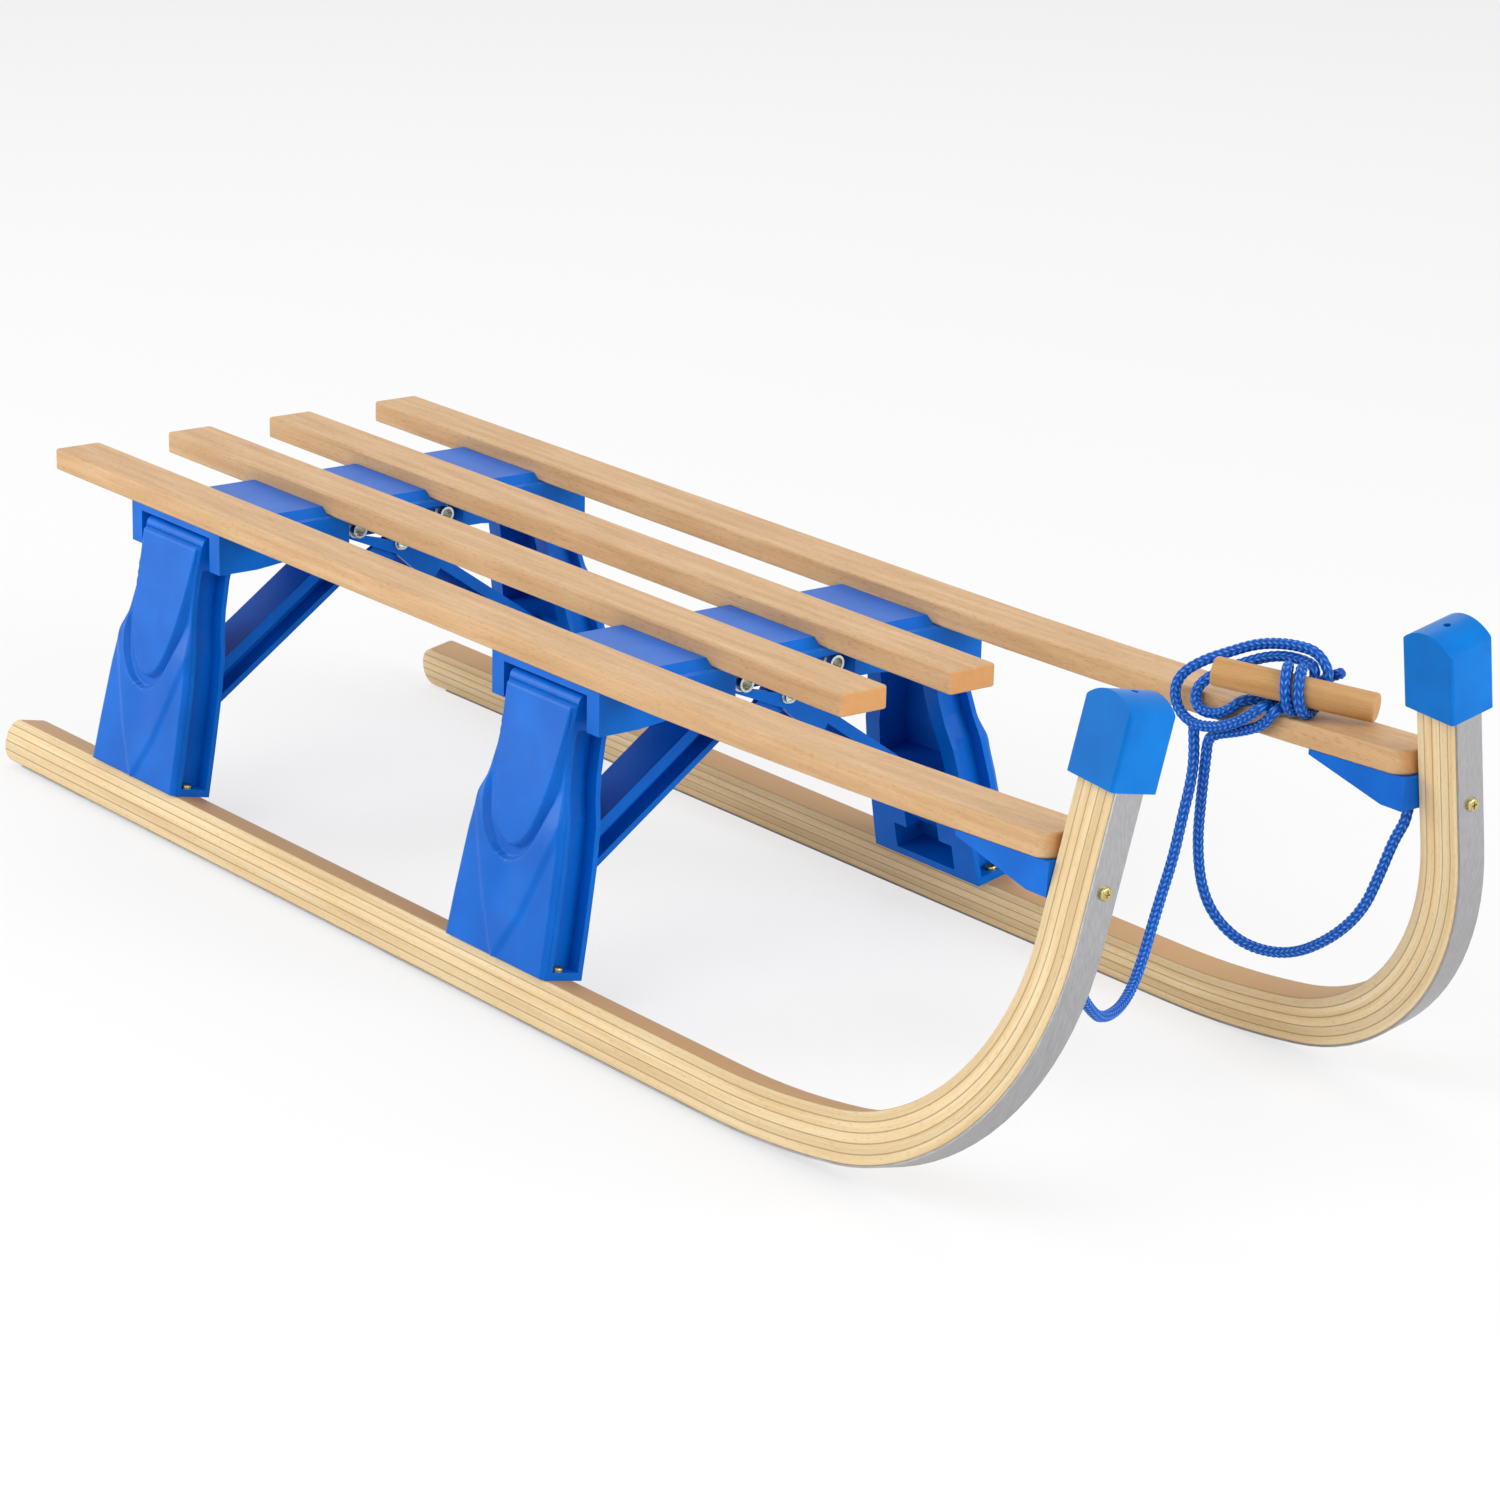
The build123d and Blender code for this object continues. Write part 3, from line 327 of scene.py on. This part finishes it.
# Braided polypropylene rope of matt yarns. Its colour carries a painted highlight on the crowns of the stitches
# and painted shade in the gaps between them.
# One unit of UV is a rope's thickness, so the yarn's fibres are drawn about 0.75 mm apart.
rope = {
    "radius": 3.35 * mm, "columns": 8, "stitch": 4.2 * mm, "relief": 0.8 * mm, "around": 48, "step": 0.5 * mm,
    "fibresAcross": 9, "endRings": (0.45, 0.75, 0.9, 0.97), "roughness": 0.5, "specular": 0.25,
    # from painted shade in the gaps between stitches up to a painted highlight on their crowns
    "tones": [(0.4, "#033E90"), (0.66, "#0858BC"), (0.84, "#1470D6"), (0.98, "#70B4F0")],
}
ropeFibre, tree = newMaterial("braidedPolypropyleneRope")
uv = addNode(tree, "ShaderNodeTexCoord").outputs["UV"]
fibreMap = addNode(tree, "ShaderNodeMapping", None, Vector=uv, Scale=(rope["fibresAcross"],) * 3)
fibres = addNode(tree, "ShaderNodeTexNoise", None, Vector=fibreMap.outputs[0], Scale=1.0, Detail=2.0)
lift = addNode(tree, "ShaderNodeAttribute", {"attribute_name": "lift"}).outputs["Fac"]
mixedLift = addNode(
    tree, "ShaderNodeMath", {"operation": "MULTIPLY_ADD"}, i0=fibres.outputs[0], i1=0.5, i2=lift)
crownHighlightAndGapShade = addNode(tree, "ShaderNodeMath", {"operation": "MULTIPLY"}, i0=mixedLift.outputs[0], i1=0.75)
# painted highlight on the stitch crowns and painted shade in the gaps, taken from the stitch height; the fibre
# noise adds the yarn's own tone changes
colour = ramp(tree, crownHighlightAndGapShade.outputs[0], rope["tones"])
relief = addNode(tree, "ShaderNodeBump", None, Height=fibres.outputs[0], Strength=0.3, Distance=0.2 * mm)
finishMaterial(
    tree, colour, rope["roughness"], relief.outputs[0], IOR=plasticIor, Specular_IOR_Level=rope["specular"])
print("materials done")

# The rope's route, as the points of the part's source, in mm from the seat's rear
handleSide = handleDir.cross(Vector((0, 0, 1))).normalized()
handleUp = handleSide.cross(handleDir)
wrapTurn = (handle["startAngle"] - handle["endAngle"]) / (handle["points"] - 1)
pullIn = math.cos(math.radians(wrapTurn) / 2)  # the spline cuts inside its points by this share


# Point at an angle round the handle, 0 facing the near side and 90 on top
def roundHandle(along, angle, radius):
    turnedTo = handleSide * math.cos(math.radians(angle)) + handleUp * math.sin(math.radians(angle))
    return tuple(handleStart + handleDir * along + turnedTo * radius)


# Points of one wrap, which crosses the handle's front at this place along it
def handleWrap(front):
    ropeRound = handle["radius"] + handle["ropeHalf"]
    leadPlace = front + handle["leadShare"] * handle["pitch"]
    points = [roundHandle(leadPlace, handle["leadAngle"], ropeRound + handle["leadRoom"])]
    for step in range(handle["points"]):
        part = step / (handle["points"] - 1)
        angle = handle["startAngle"] + part * (handle["endAngle"] - handle["startAngle"])
        radius = (ropeRound + handle["room"] + handle["flare"] * part ** 8) / pullIn
        place = front + handle["pitch"] * (handle["startShare"] + handle["longShare"] * part)
        points.append(roundHandle(place, angle, radius))
    return points


# Point where the rope leaves a wrap
def wrapExit(front, angle):
    exitRadius = handle["radius"] + handle["exitRoom"] * handle["ropeHalf"]
    return roundHandle(front + handle["pitch"] / 2, angle, exitRadius)


secondWrap = handle["firstWrap"] - handle["spread"]
knotRoute = [
    (890.5, 105.5, 199.5), (891.107, 105.24, 203.4), (896.5, 107, 207.6), (908, 107.5, 211.3),
    (922, 107.8, 216.5), (934, 108.2, 222.5),
] + handleWrap(handle["firstWrap"]) + [
    wrapExit(handle["firstWrap"], handle["exitAngles"][0]),
    (944.5, 136.5, 264.3), (930, 133.5, 265), (915, 131, 263), (902, 127, 259.5), (889, 120.5, 253),
    (876, 112, 246), (864, 106.5, 236), (860.5, 105, 224.5), (867, 103.5, 214.5), (881, 102.3, 210.2),
    (897, 101.8, 212.5), (911, 101.6, 217.5), (923, 102.8, 224),
] + handleWrap(secondWrap) + [
    wrapExit(secondWrap, handle["exitAngles"][1]),
    (936, 137, 256.2), (923, 133, 257), (910, 128.8, 253.8), (898, 121.5, 247.8), (885, 114.5, 240.5),
    (876, 109.5, 231.5), (875, 108, 223), (882, 107.5, 217.3), (896, 107.8, 219), (906, 108.3, 225),
    (911.5, 110.8, 231.2), (920, 121, 232.3), (927, 133, 234.5), (935, 143.5, 240), (944.5, 148, 247.5),
    (955.5, 147.5, 252.5),
]
farRoute = [
    (1034, 127, 203), (1033.7, 127, 190.5), (1024.3, 127, 175.6), (1016, 126, 153), (1005, 125, 127),
    (983, 123, 104), (951.9, 121, 85), (918.2, 118, 81.3), (895.4, 115, 91.6), (884.7, 112, 109.1),
    (881.5, 110, 136), (885, 108, 165), (888.4, 106.4, 186), (890.5, 105.5, 199.5),
]
nearRoute = [
    (1034, -127, 203), (1033.6, -126.6, 188), (1025, -116, 160), (1014, -100, 133), (1001.4, -78.1, 109.8),
    (984.2, -52.4, 92), (958, -13, 83.5), (937, 17.5, 91), (916, 48.5, 117), (899.5, 74.7, 138.5),
    (892.5, 86.5, 158.3), (888.5, 96, 178), (884.5, 101.5, 193), (881.2, 102.6, 208.6),
]


# Points of the smooth line that a route's NURBS spline makes, in metres
def routeLine(name, route):
    curve = bpy.data.curves.new(name, "CURVE")
    curve.dimensions = "3D"
    curve.resolution_u = 10
    spline = curve.splines.new("NURBS")
    spline.points.add(len(route) - 1)
    for point, place in zip(spline.points, route):
        point.co = ((place[0] + xShift) * mm, place[1] * mm, place[2] * mm, 1)
    spline.order_u = 3
    spline.use_endpoint_u = True
    holder = bpy.data.objects.new(name, curve)
    bpy.context.collection.objects.link(holder)
    bpy.context.view_layer.update()
    mesh = bpy.data.meshes.new_from_object(holder)
    points = [vertex.co.copy() for vertex in mesh.vertices]
    bpy.data.objects.remove(holder)
    return points


# The same line with its points an even step apart, and its length
def evenPoints(points, step):
    lengths = [0.0]
    for before, after in zip(points, points[1:]):
        lengths.append(lengths[-1] + (after - before).length)
    count = max(8, round(lengths[-1] / step))
    result, index = [], 0
    for number in range(count + 1):
        place = lengths[-1] * number / count
        while index < len(points) - 2 and lengths[index + 1] < place:
            index += 1
        share = (place - lengths[index]) / max(lengths[index + 1] - lengths[index], 1e-9)
        result.append(points[index].lerp(points[index + 1], min(max(share, 0), 1)))
    return result, lengths[-1]


def makeObject(name, vertices, faces, material, uvs=None):
    mesh = bpy.data.meshes.new(name)
    mesh.from_pydata([tuple(v) for v in vertices], [], faces)
    if uvs:
        layer = mesh.uv_layers.new(name="grain")
        for polygon in mesh.polygons:
            for loop, corner in zip(polygon.loop_indices, uvs[polygon.index]):
                layer.data[loop].uv = corner
    mesh.polygons.foreach_set("use_smooth", [True] * len(mesh.polygons))
    mesh.materials.append(material)
    mesh.update()
    piece = bpy.data.objects.new(name, mesh)
    bpy.context.collection.objects.link(piece)
    return piece


# Tube along the points with the slanted stitches of a braid, and how high each of its points stands
def braidedTube(name, points, looseEnd=False):
    line, long = evenPoints(points, rope["step"])
    count, around = len(line), rope["around"]
    tangents = [(line[min(i + 1, count - 1)] - line[max(i - 1, 0)]).normalized() for i in range(count)]
    normal = tangents[0].orthogonal().normalized()
    vertices, faces, uvs, lifts = [], [], [], []
    for i in range(count):
        normal = (normal - tangents[i] * normal.dot(tangents[i])).normalized()
        side = tangents[i].cross(normal)
        place = long * i / (count - 1)
        fromEnd = count - 1 - i
        shrink = 1.0
        if looseEnd and fromEnd < len(rope["endRings"]):
            shrink = rope["endRings"][fromEnd]  # the cut end is melted round
        for j in range(around):
            column = rope["columns"] * j / around
            share = column - math.floor(column)
            slant = share if math.floor(column) % 2 else 1 - share  # next columns slant the other way
            stitch = abs(math.sin(math.pi * (place / rope["stitch"] + 0.75 * slant)))
            rib = math.sin(math.pi * share)
            height = stitch ** 0.7 * (0.35 + 0.65 * rib ** 0.5)
            lifts.append(height)
            radius = (rope["radius"] - rope["relief"] * (1 - height)) * shrink
            angle = 2 * math.pi * j / around
            vertices.append(line[i] + (normal * math.cos(angle) + side * math.sin(angle)) * radius)
    thick = 2 * rope["radius"]
    for i in range(count - 1):
        for j in range(around):
            k = (j + 1) % around
            faces.append((i * around + j, i * around + k, (i + 1) * around + k, (i + 1) * around + j))
            low, high = i * rope["step"] / thick, (i + 1) * rope["step"] / thick
            a, b = j * math.pi / around, (j + 1) * math.pi / around
            uvs.append(((low, a), (low, b), (high, b), (high, a)))
    for ring in (0, count - 1):
        order = list(range(around))
        if ring == 0:
            order.reverse()
        faces.append(tuple(ring * around + j for j in order))
        uvs.append(tuple((0, 0) for j in order))
    piece = makeObject(name, vertices, faces, ropeFibre, uvs)
    layer = piece.data.attributes.new("lift", "FLOAT", "POINT")
    layer.data.foreach_set("value", lifts)
    return piece, [tuple(p) for p in line], long


for side, route, node in (("far", farRoute, "rope_far_strand"), ("near", nearRoute, "rope_near_strand")):
    piece, line, long = braidedTube(side + "RopeStrand", routeLine(side + "Route", route))
    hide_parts(node)
    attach(piece, "root")
    print(side, "rope strand", round(long, 4))
piece, line, long = braidedTube("ropeKnot", routeLine("knotRoute", knotRoute), looseEnd=True)
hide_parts("rope_knot")
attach(piece, "root")
print("rope knot", round(long, 4))

# Runners: plies bent in one plane that leans inwards, in mm from the seat's rear
runner = {
    "width": 20.2, "depth": 31.3, "lean": math.radians(11.4), "y": 176.8, "rearX": -13.0, "flatEnd": 801.0,
    "toeRadius": 688.0, "toeTurn": math.radians(9.6), "hornRadius": 187.0, "hornTurn": math.radians(85.5),
    "hornTop": 303.0, "heelTop": 17.0, "heelSole": 9.0, "strip": 1.2, "stripSide": 0.6, "edge": 1.3,
    "heelCuts": 8, "flatCuts": range(60, 800, 20), "toeCuts": 8, "hornCuts": 40, "topCuts": 6,
    "grainShift": 0.31,  # keeps the two runners from having the same grain
}
leanSin, leanCos = math.sin(runner["lean"]), math.cos(runner["lean"])
soleLift = (runner["width"] / 2 - runner["stripSide"]) * leanSin
radiusStep = runner["toeRadius"] - runner["hornRadius"]
bendX = runner["flatEnd"] + radiusStep * math.sin(runner["toeTurn"])
bendV = runner["toeRadius"] - radiusStep * math.cos(runner["toeTurn"])


# Point of a runner's own frame, in metres: along, outward of its middle, up the lean
def runnerPoint(side, x, out, height):
    return Vector((
        (x + xShift) * mm,
        side * (runner["y"] + out * leanCos - height * leanSin) * mm,
        (soleLift + out * leanSin + height * leanCos) * mm,
    ))


# Rows of (x, height, inward x, inward height, length along) from the heel along the sole to the horn's top
def soleLine():
    heel = runner["heelTop"]
    cuts = [
        runner["rearX"] + heel * (1 - math.cos(math.pi * k / (2 * runner["heelCuts"])))
        for k in range(runner["heelCuts"] + 1)
    ]
    rows = [(x, 0.0, 0.0, 1.0) for x in cuts + list(runner["flatCuts"]) + [runner["flatEnd"]]]

    def addRow(x, height, turn):
        rows.append((x, height, -math.sin(turn), math.cos(turn)))

    radius = runner["toeRadius"]
    for k in range(1, runner["toeCuts"] + 1):
        turn = runner["toeTurn"] * k / runner["toeCuts"]
        addRow(runner["flatEnd"] + radius * math.sin(turn), radius * (1 - math.cos(turn)), turn)
    radius = runner["hornRadius"]
    for k in range(1, runner["hornCuts"] + 1):
        turn = runner["toeTurn"] + (runner["hornTurn"] - runner["toeTurn"]) * k / runner["hornCuts"]
        addRow(bendX + radius * math.sin(turn), bendV - radius * math.cos(turn), turn)
    turn = runner["hornTurn"]
    lastX, lastHeight = rows[-1][:2]
    for k in range(1, runner["topCuts"] + 1):
        height = lastHeight + (runner["hornTop"] - lastHeight) * k / runner["topCuts"]
        addRow(lastX + (height - lastHeight) / math.tan(turn), height, turn)
    result, place = [], 0.0
    for index, row in enumerate(rows):
        if index:
            place += math.hypot(row[0] - rows[index - 1][0], row[1] - rows[index - 1][1])
        result.append(row + (place,))
    return result


# Rounded rectangle across the band, as (out, depth) pairs
def runnerProfile(low, high):
    half, edge = runner["width"] / 2, runner["edge"]
    corners = [
        (half - edge, low + edge, -90), (half - edge, high - edge, 0),
        (-half + edge, high - edge, 90), (-half + edge, low + edge, 180),
    ]
    return [
        (out + edge * math.cos(math.radians(start + step)), depth + edge * math.sin(math.radians(start + step)))
        for out, depth, start in corners for step in (0, 30, 60, 90)
    ]


# How far a rounded end has come in at a distance from it
def roundedOff(radius, fromEnd):
    return radius - math.sqrt(radius ** 2 - (radius - fromEnd) ** 2) if fromEnd < radius else 0.0


for sideName, side in sides:
    rows = soleLine()
    vertices, places = [], []
    for x, height, inX, inHeight, place in rows:
        fromHeel = x - runner["rearX"]
        low, high = runner["strip"], runner["depth"]
        if height == 0:
            low += roundedOff(runner["heelSole"], fromHeel)
            high -= roundedOff(runner["heelTop"], fromHeel)
        profile = runnerProfile(low, high)
        for out, depth in profile:
            vertices.append(runnerPoint(side, x + inX * depth, out, height + inHeight * depth))
            places.append((place * mm, (depth - runner["strip"]) * mm))
    ring = len(profile)
    faces = []
    for i in range(len(rows) - 1):
        for j in range(ring):
            k = (j + 1) % ring
            quad = (i * ring + j, i * ring + k, (i + 1) * ring + k, (i + 1) * ring + j)
            faces.append(quad[::-1] if side > 0 else quad)
    for end in (0, len(rows) - 1):
        cap = tuple(end * ring + j for j in range(ring))
        faces.append(cap if (end == 0) == (side > 0) else cap[::-1])
    shift = runner["grainShift"] * (side > 0)
    uvs = [[(places[v][0] + shift, places[v][1]) for v in face] for face in faces]
    piece = makeObject(sideName + "LaminatedRunner", vertices, faces, runnerWood, uvs)
    split = piece.modifiers.new("splitFlats", "EDGE_SPLIT")
    split.split_angle = math.radians(40)
    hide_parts(sideName + "_runner")
    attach(piece, "root")
print("runners done")

# Moulded faces of the legs: a raised tongue over a crescent-shaped moat, and a field that narrows to the
# foot. The tables give half widths by height above the runner, and all sizes are in mm.
leg = {
    "places": (("rear", 157.0), ("front", 582.5)), "base": 31.3, "outer": 10.1, "behind": 0.8,
    "halves": [
        (0, 52.0), (29, 50.5), (69, 47.5), (94, 44.0), (109, 39.0), (124, 36.0), (144, 34.5), (171.7, 36.0),
    ],
    "tongue": [
        (70, 0.0), (71, 6.5), (73.5, 11.0), (78, 15.5), (85, 19.8), (95, 24.0), (107, 27.6), (122, 30.3),
        (140, 32.3), (163, 34.0), (172, 34.2),
    ],
    "moat": [
        (61, 0.0), (62.5, 8.0), (66, 14.0), (72, 20.0), (80, 25.0), (90, 29.0), (102, 32.0), (118, 35.0),
        (172, 36.0),
    ],
    "field": [(0, 2.0), (12, 9.0), (30, 20.0), (60, 33.0), (80, 41.0), (95, 46.0), (172, 60.0)],
    "tongueRise": 2.9, "tongueTipRise": 2.6, "bodyRise": 3.4, "fieldRise": 1.5,
    "hollow": 1.6, "hollowWide": 16, "moatAside": 4, "thin": 0.05, "skin": 0.25, "inset": 0.3,
    "low": 0.4, "high": 165.5, "rows": 110, "columns": 64,
}


# Value read from a table of (place, value), with straight lines between
def between(table, value):
    for (a, first), (b, second) in zip(table, table[1:]):
        if value <= b:
            return first + (second - first) * max(0, value - a) / (b - a)
    return table[-1][1]


# Smooth step from 0 at the first value to 1 at the second
def ease(low, high, value):
    share = min(max((value - low) / (high - low), 0), 1)
    return share * share * (3 - 2 * share)


# How far a point lies inside one of the leg's outlines, below 0 when outside
def insideOf(outline, x, height):
    lowest = outline[0][0]
    if height < lowest:
        return height - lowest - abs(x) * 0.3
    return 0.8 * (between(outline, height) - abs(x))


# How far the leg's face stands out of its flat
def legRelief(x, height, toEdge):
    tongueRise = leg["tongueRise"] + leg["tongueTipRise"] * ease(165, 86, height)
    tongue = tongueRise * ease(-0.7, 0.9, insideOf(leg["tongue"], x, height))
    outsideMoat = -insideOf(leg["moat"], x + leg["moatAside"], height)
    body = leg["bodyRise"] * ease(-0.6, 1.6, outsideMoat) * ease(114, 88, height)
    inField = between(leg["field"], height) - abs(x)
    field = leg["fieldRise"] * ease(-2.0, 4.0, inField) * ease(104, 76, height)
    trough = math.exp(-(x / leg["hollowWide"]) ** 2)
    hollow = leg["hollow"] * trough * ease(4, 40, height) * ease(80, 50, height)
    return leg["thin"] + (leg["skin"] + max(tongue, body + field - hollow)) * ease(-0.4, 1.8, toEdge)


rows, columns = leg["rows"], leg["columns"]
wide = columns + 1
back = (rows + 1) * wide  # number of the first vertex behind the face
for sideName, side in sides:
    for placeName, legX in leg["places"]:
        vertices, faces = [], []
        for isFace in (True, False):
            for i in range(rows + 1):
                height = leg["low"] + (leg["high"] - leg["low"]) * i / rows
                half = between(leg["halves"], height) - leg["inset"]
                for j in range(wide):
                    x = half * (2 * j / columns - 1)
                    toEdge = min(half - abs(x), (leg["high"] - height) * 0.6)
                    rise = legRelief(x, height, toEdge) if isFace else -leg["behind"]
                    vertices.append(runnerPoint(side, legX + x, leg["outer"] + rise, leg["base"] + height))
        for i in range(rows):
            for j in range(columns):
                a = i * wide + j
                front = (a, a + 1, a + wide + 1, a + wide)
                faces.append(front if side < 0 else front[::-1])
                rear = tuple(back + v for v in front)
                faces.append(rear[::-1] if side < 0 else rear)
        rim = list(range(columns)) + [i * wide + columns for i in range(rows)]
        rim += [rows * wide + j for j in range(columns, 0, -1)] + [i * wide for i in range(rows, 0, -1)]
        for a, b in zip(rim, rim[1:] + rim[:1]):
            quad = (a, back + a, back + b, b)
            faces.append(quad if side < 0 else quad[::-1])
        piece = makeObject(sideName + placeName.capitalize() + "LegFace", vertices, faces, framePlastic)
        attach(piece, "root")
print("leg faces done")

# CAD pieces that keep their shape, with the radius of their softened edges in mm
softEdges = {
    "rear_leg": 0.9, "front_leg": 0.9, "rear_brace": 0.7, "front_brace": 0.7, "horn_bracket": 1.2,
    "horn_cap": 1.0, "crossbeam": 1.0, "rivet": 0.25, "segments": 2,
}


# Gives a CAD node its material and, where a radius is given, rounded edges
def dress(name, material, radius=0.0):
    piece = nodes[name]
    piece.data.materials.clear()
    piece.data.materials.append(material)
    if radius:
        flat = piece.modifiers.new("mergeFlats", "DECIMATE")
        flat.decimate_type = "DISSOLVE"
        flat.angle_limit = math.radians(1)
        edge = piece.modifiers.new("softEdges", "BEVEL")
        edge.width = radius * mm
        edge.segments = softEdges["segments"]
        edge.limit_method = "ANGLE"
        edge.angle_limit = math.radians(35)
        edge.use_clamp_overlap = True
        edge.harden_normals = True


for side, _ in sides:
    for name in ("inner_slat", "outer_slat"):
        dress(side + "_" + name, slatWood)
    for name in ("rear_leg", "front_leg", "rear_brace", "front_brace", "horn_bracket"):
        dress(side + "_" + name, framePlastic, softEdges[name])
    dress(side + "_horn_cap", capPlastic, softEdges["horn_cap"])
    dress(side + "_runner_strip", stripSteel)
for name in ("rear_crossbeam", "front_crossbeam"):
    dress(name, framePlastic, softEdges["crossbeam"])
for name in ("rear_beam_rivets", "front_beam_rivets", "rear_cross_rivet", "front_cross_rivet"):
    dress(name, rivetSteel, softEdges["rivet"])
for name in ("leg_foot_screws", "horn_screws"):
    dress(name, screwSteel)
dress("handle", handleWood)
print("CAD pieces dressed")

# Floor: matt white paper, lifted towards white for the camera while it keeps the sledge's shadow
floor = {"half": 6.0, "paper": 0.9, "glow": 0.65}
paperFloor, tree = newMaterial("paperFloor")
rays = addNode(tree, "ShaderNodeLightPath").outputs
paper = addNode(tree, "ShaderNodeBsdfDiffuse", None, Color=(floor["paper"],) * 3 + (1,))
glow = addNode(tree, "ShaderNodeEmission", None, Color=linearColour("#FFFFFF"), Strength=1.0)
share = addNode(tree, "ShaderNodeMath", {"operation": "MULTIPLY"}, i0=rays["Is Camera Ray"], i1=floor["glow"])
pale = addNode(tree, "ShaderNodeMixShader", None, Fac=share.outputs[0], i1=paper.outputs[0], i2=glow.outputs[0])
addNode(tree, "ShaderNodeOutputMaterial", None, Surface=pale.outputs[0])
half = floor["half"]
corners = [(-half, -half, 0), (half, -half, 0), (half, half, 0), (-half, half, 0)]
makeObject("floor", corners, [(0, 1, 2, 3)], paperFloor)
print("floor done")
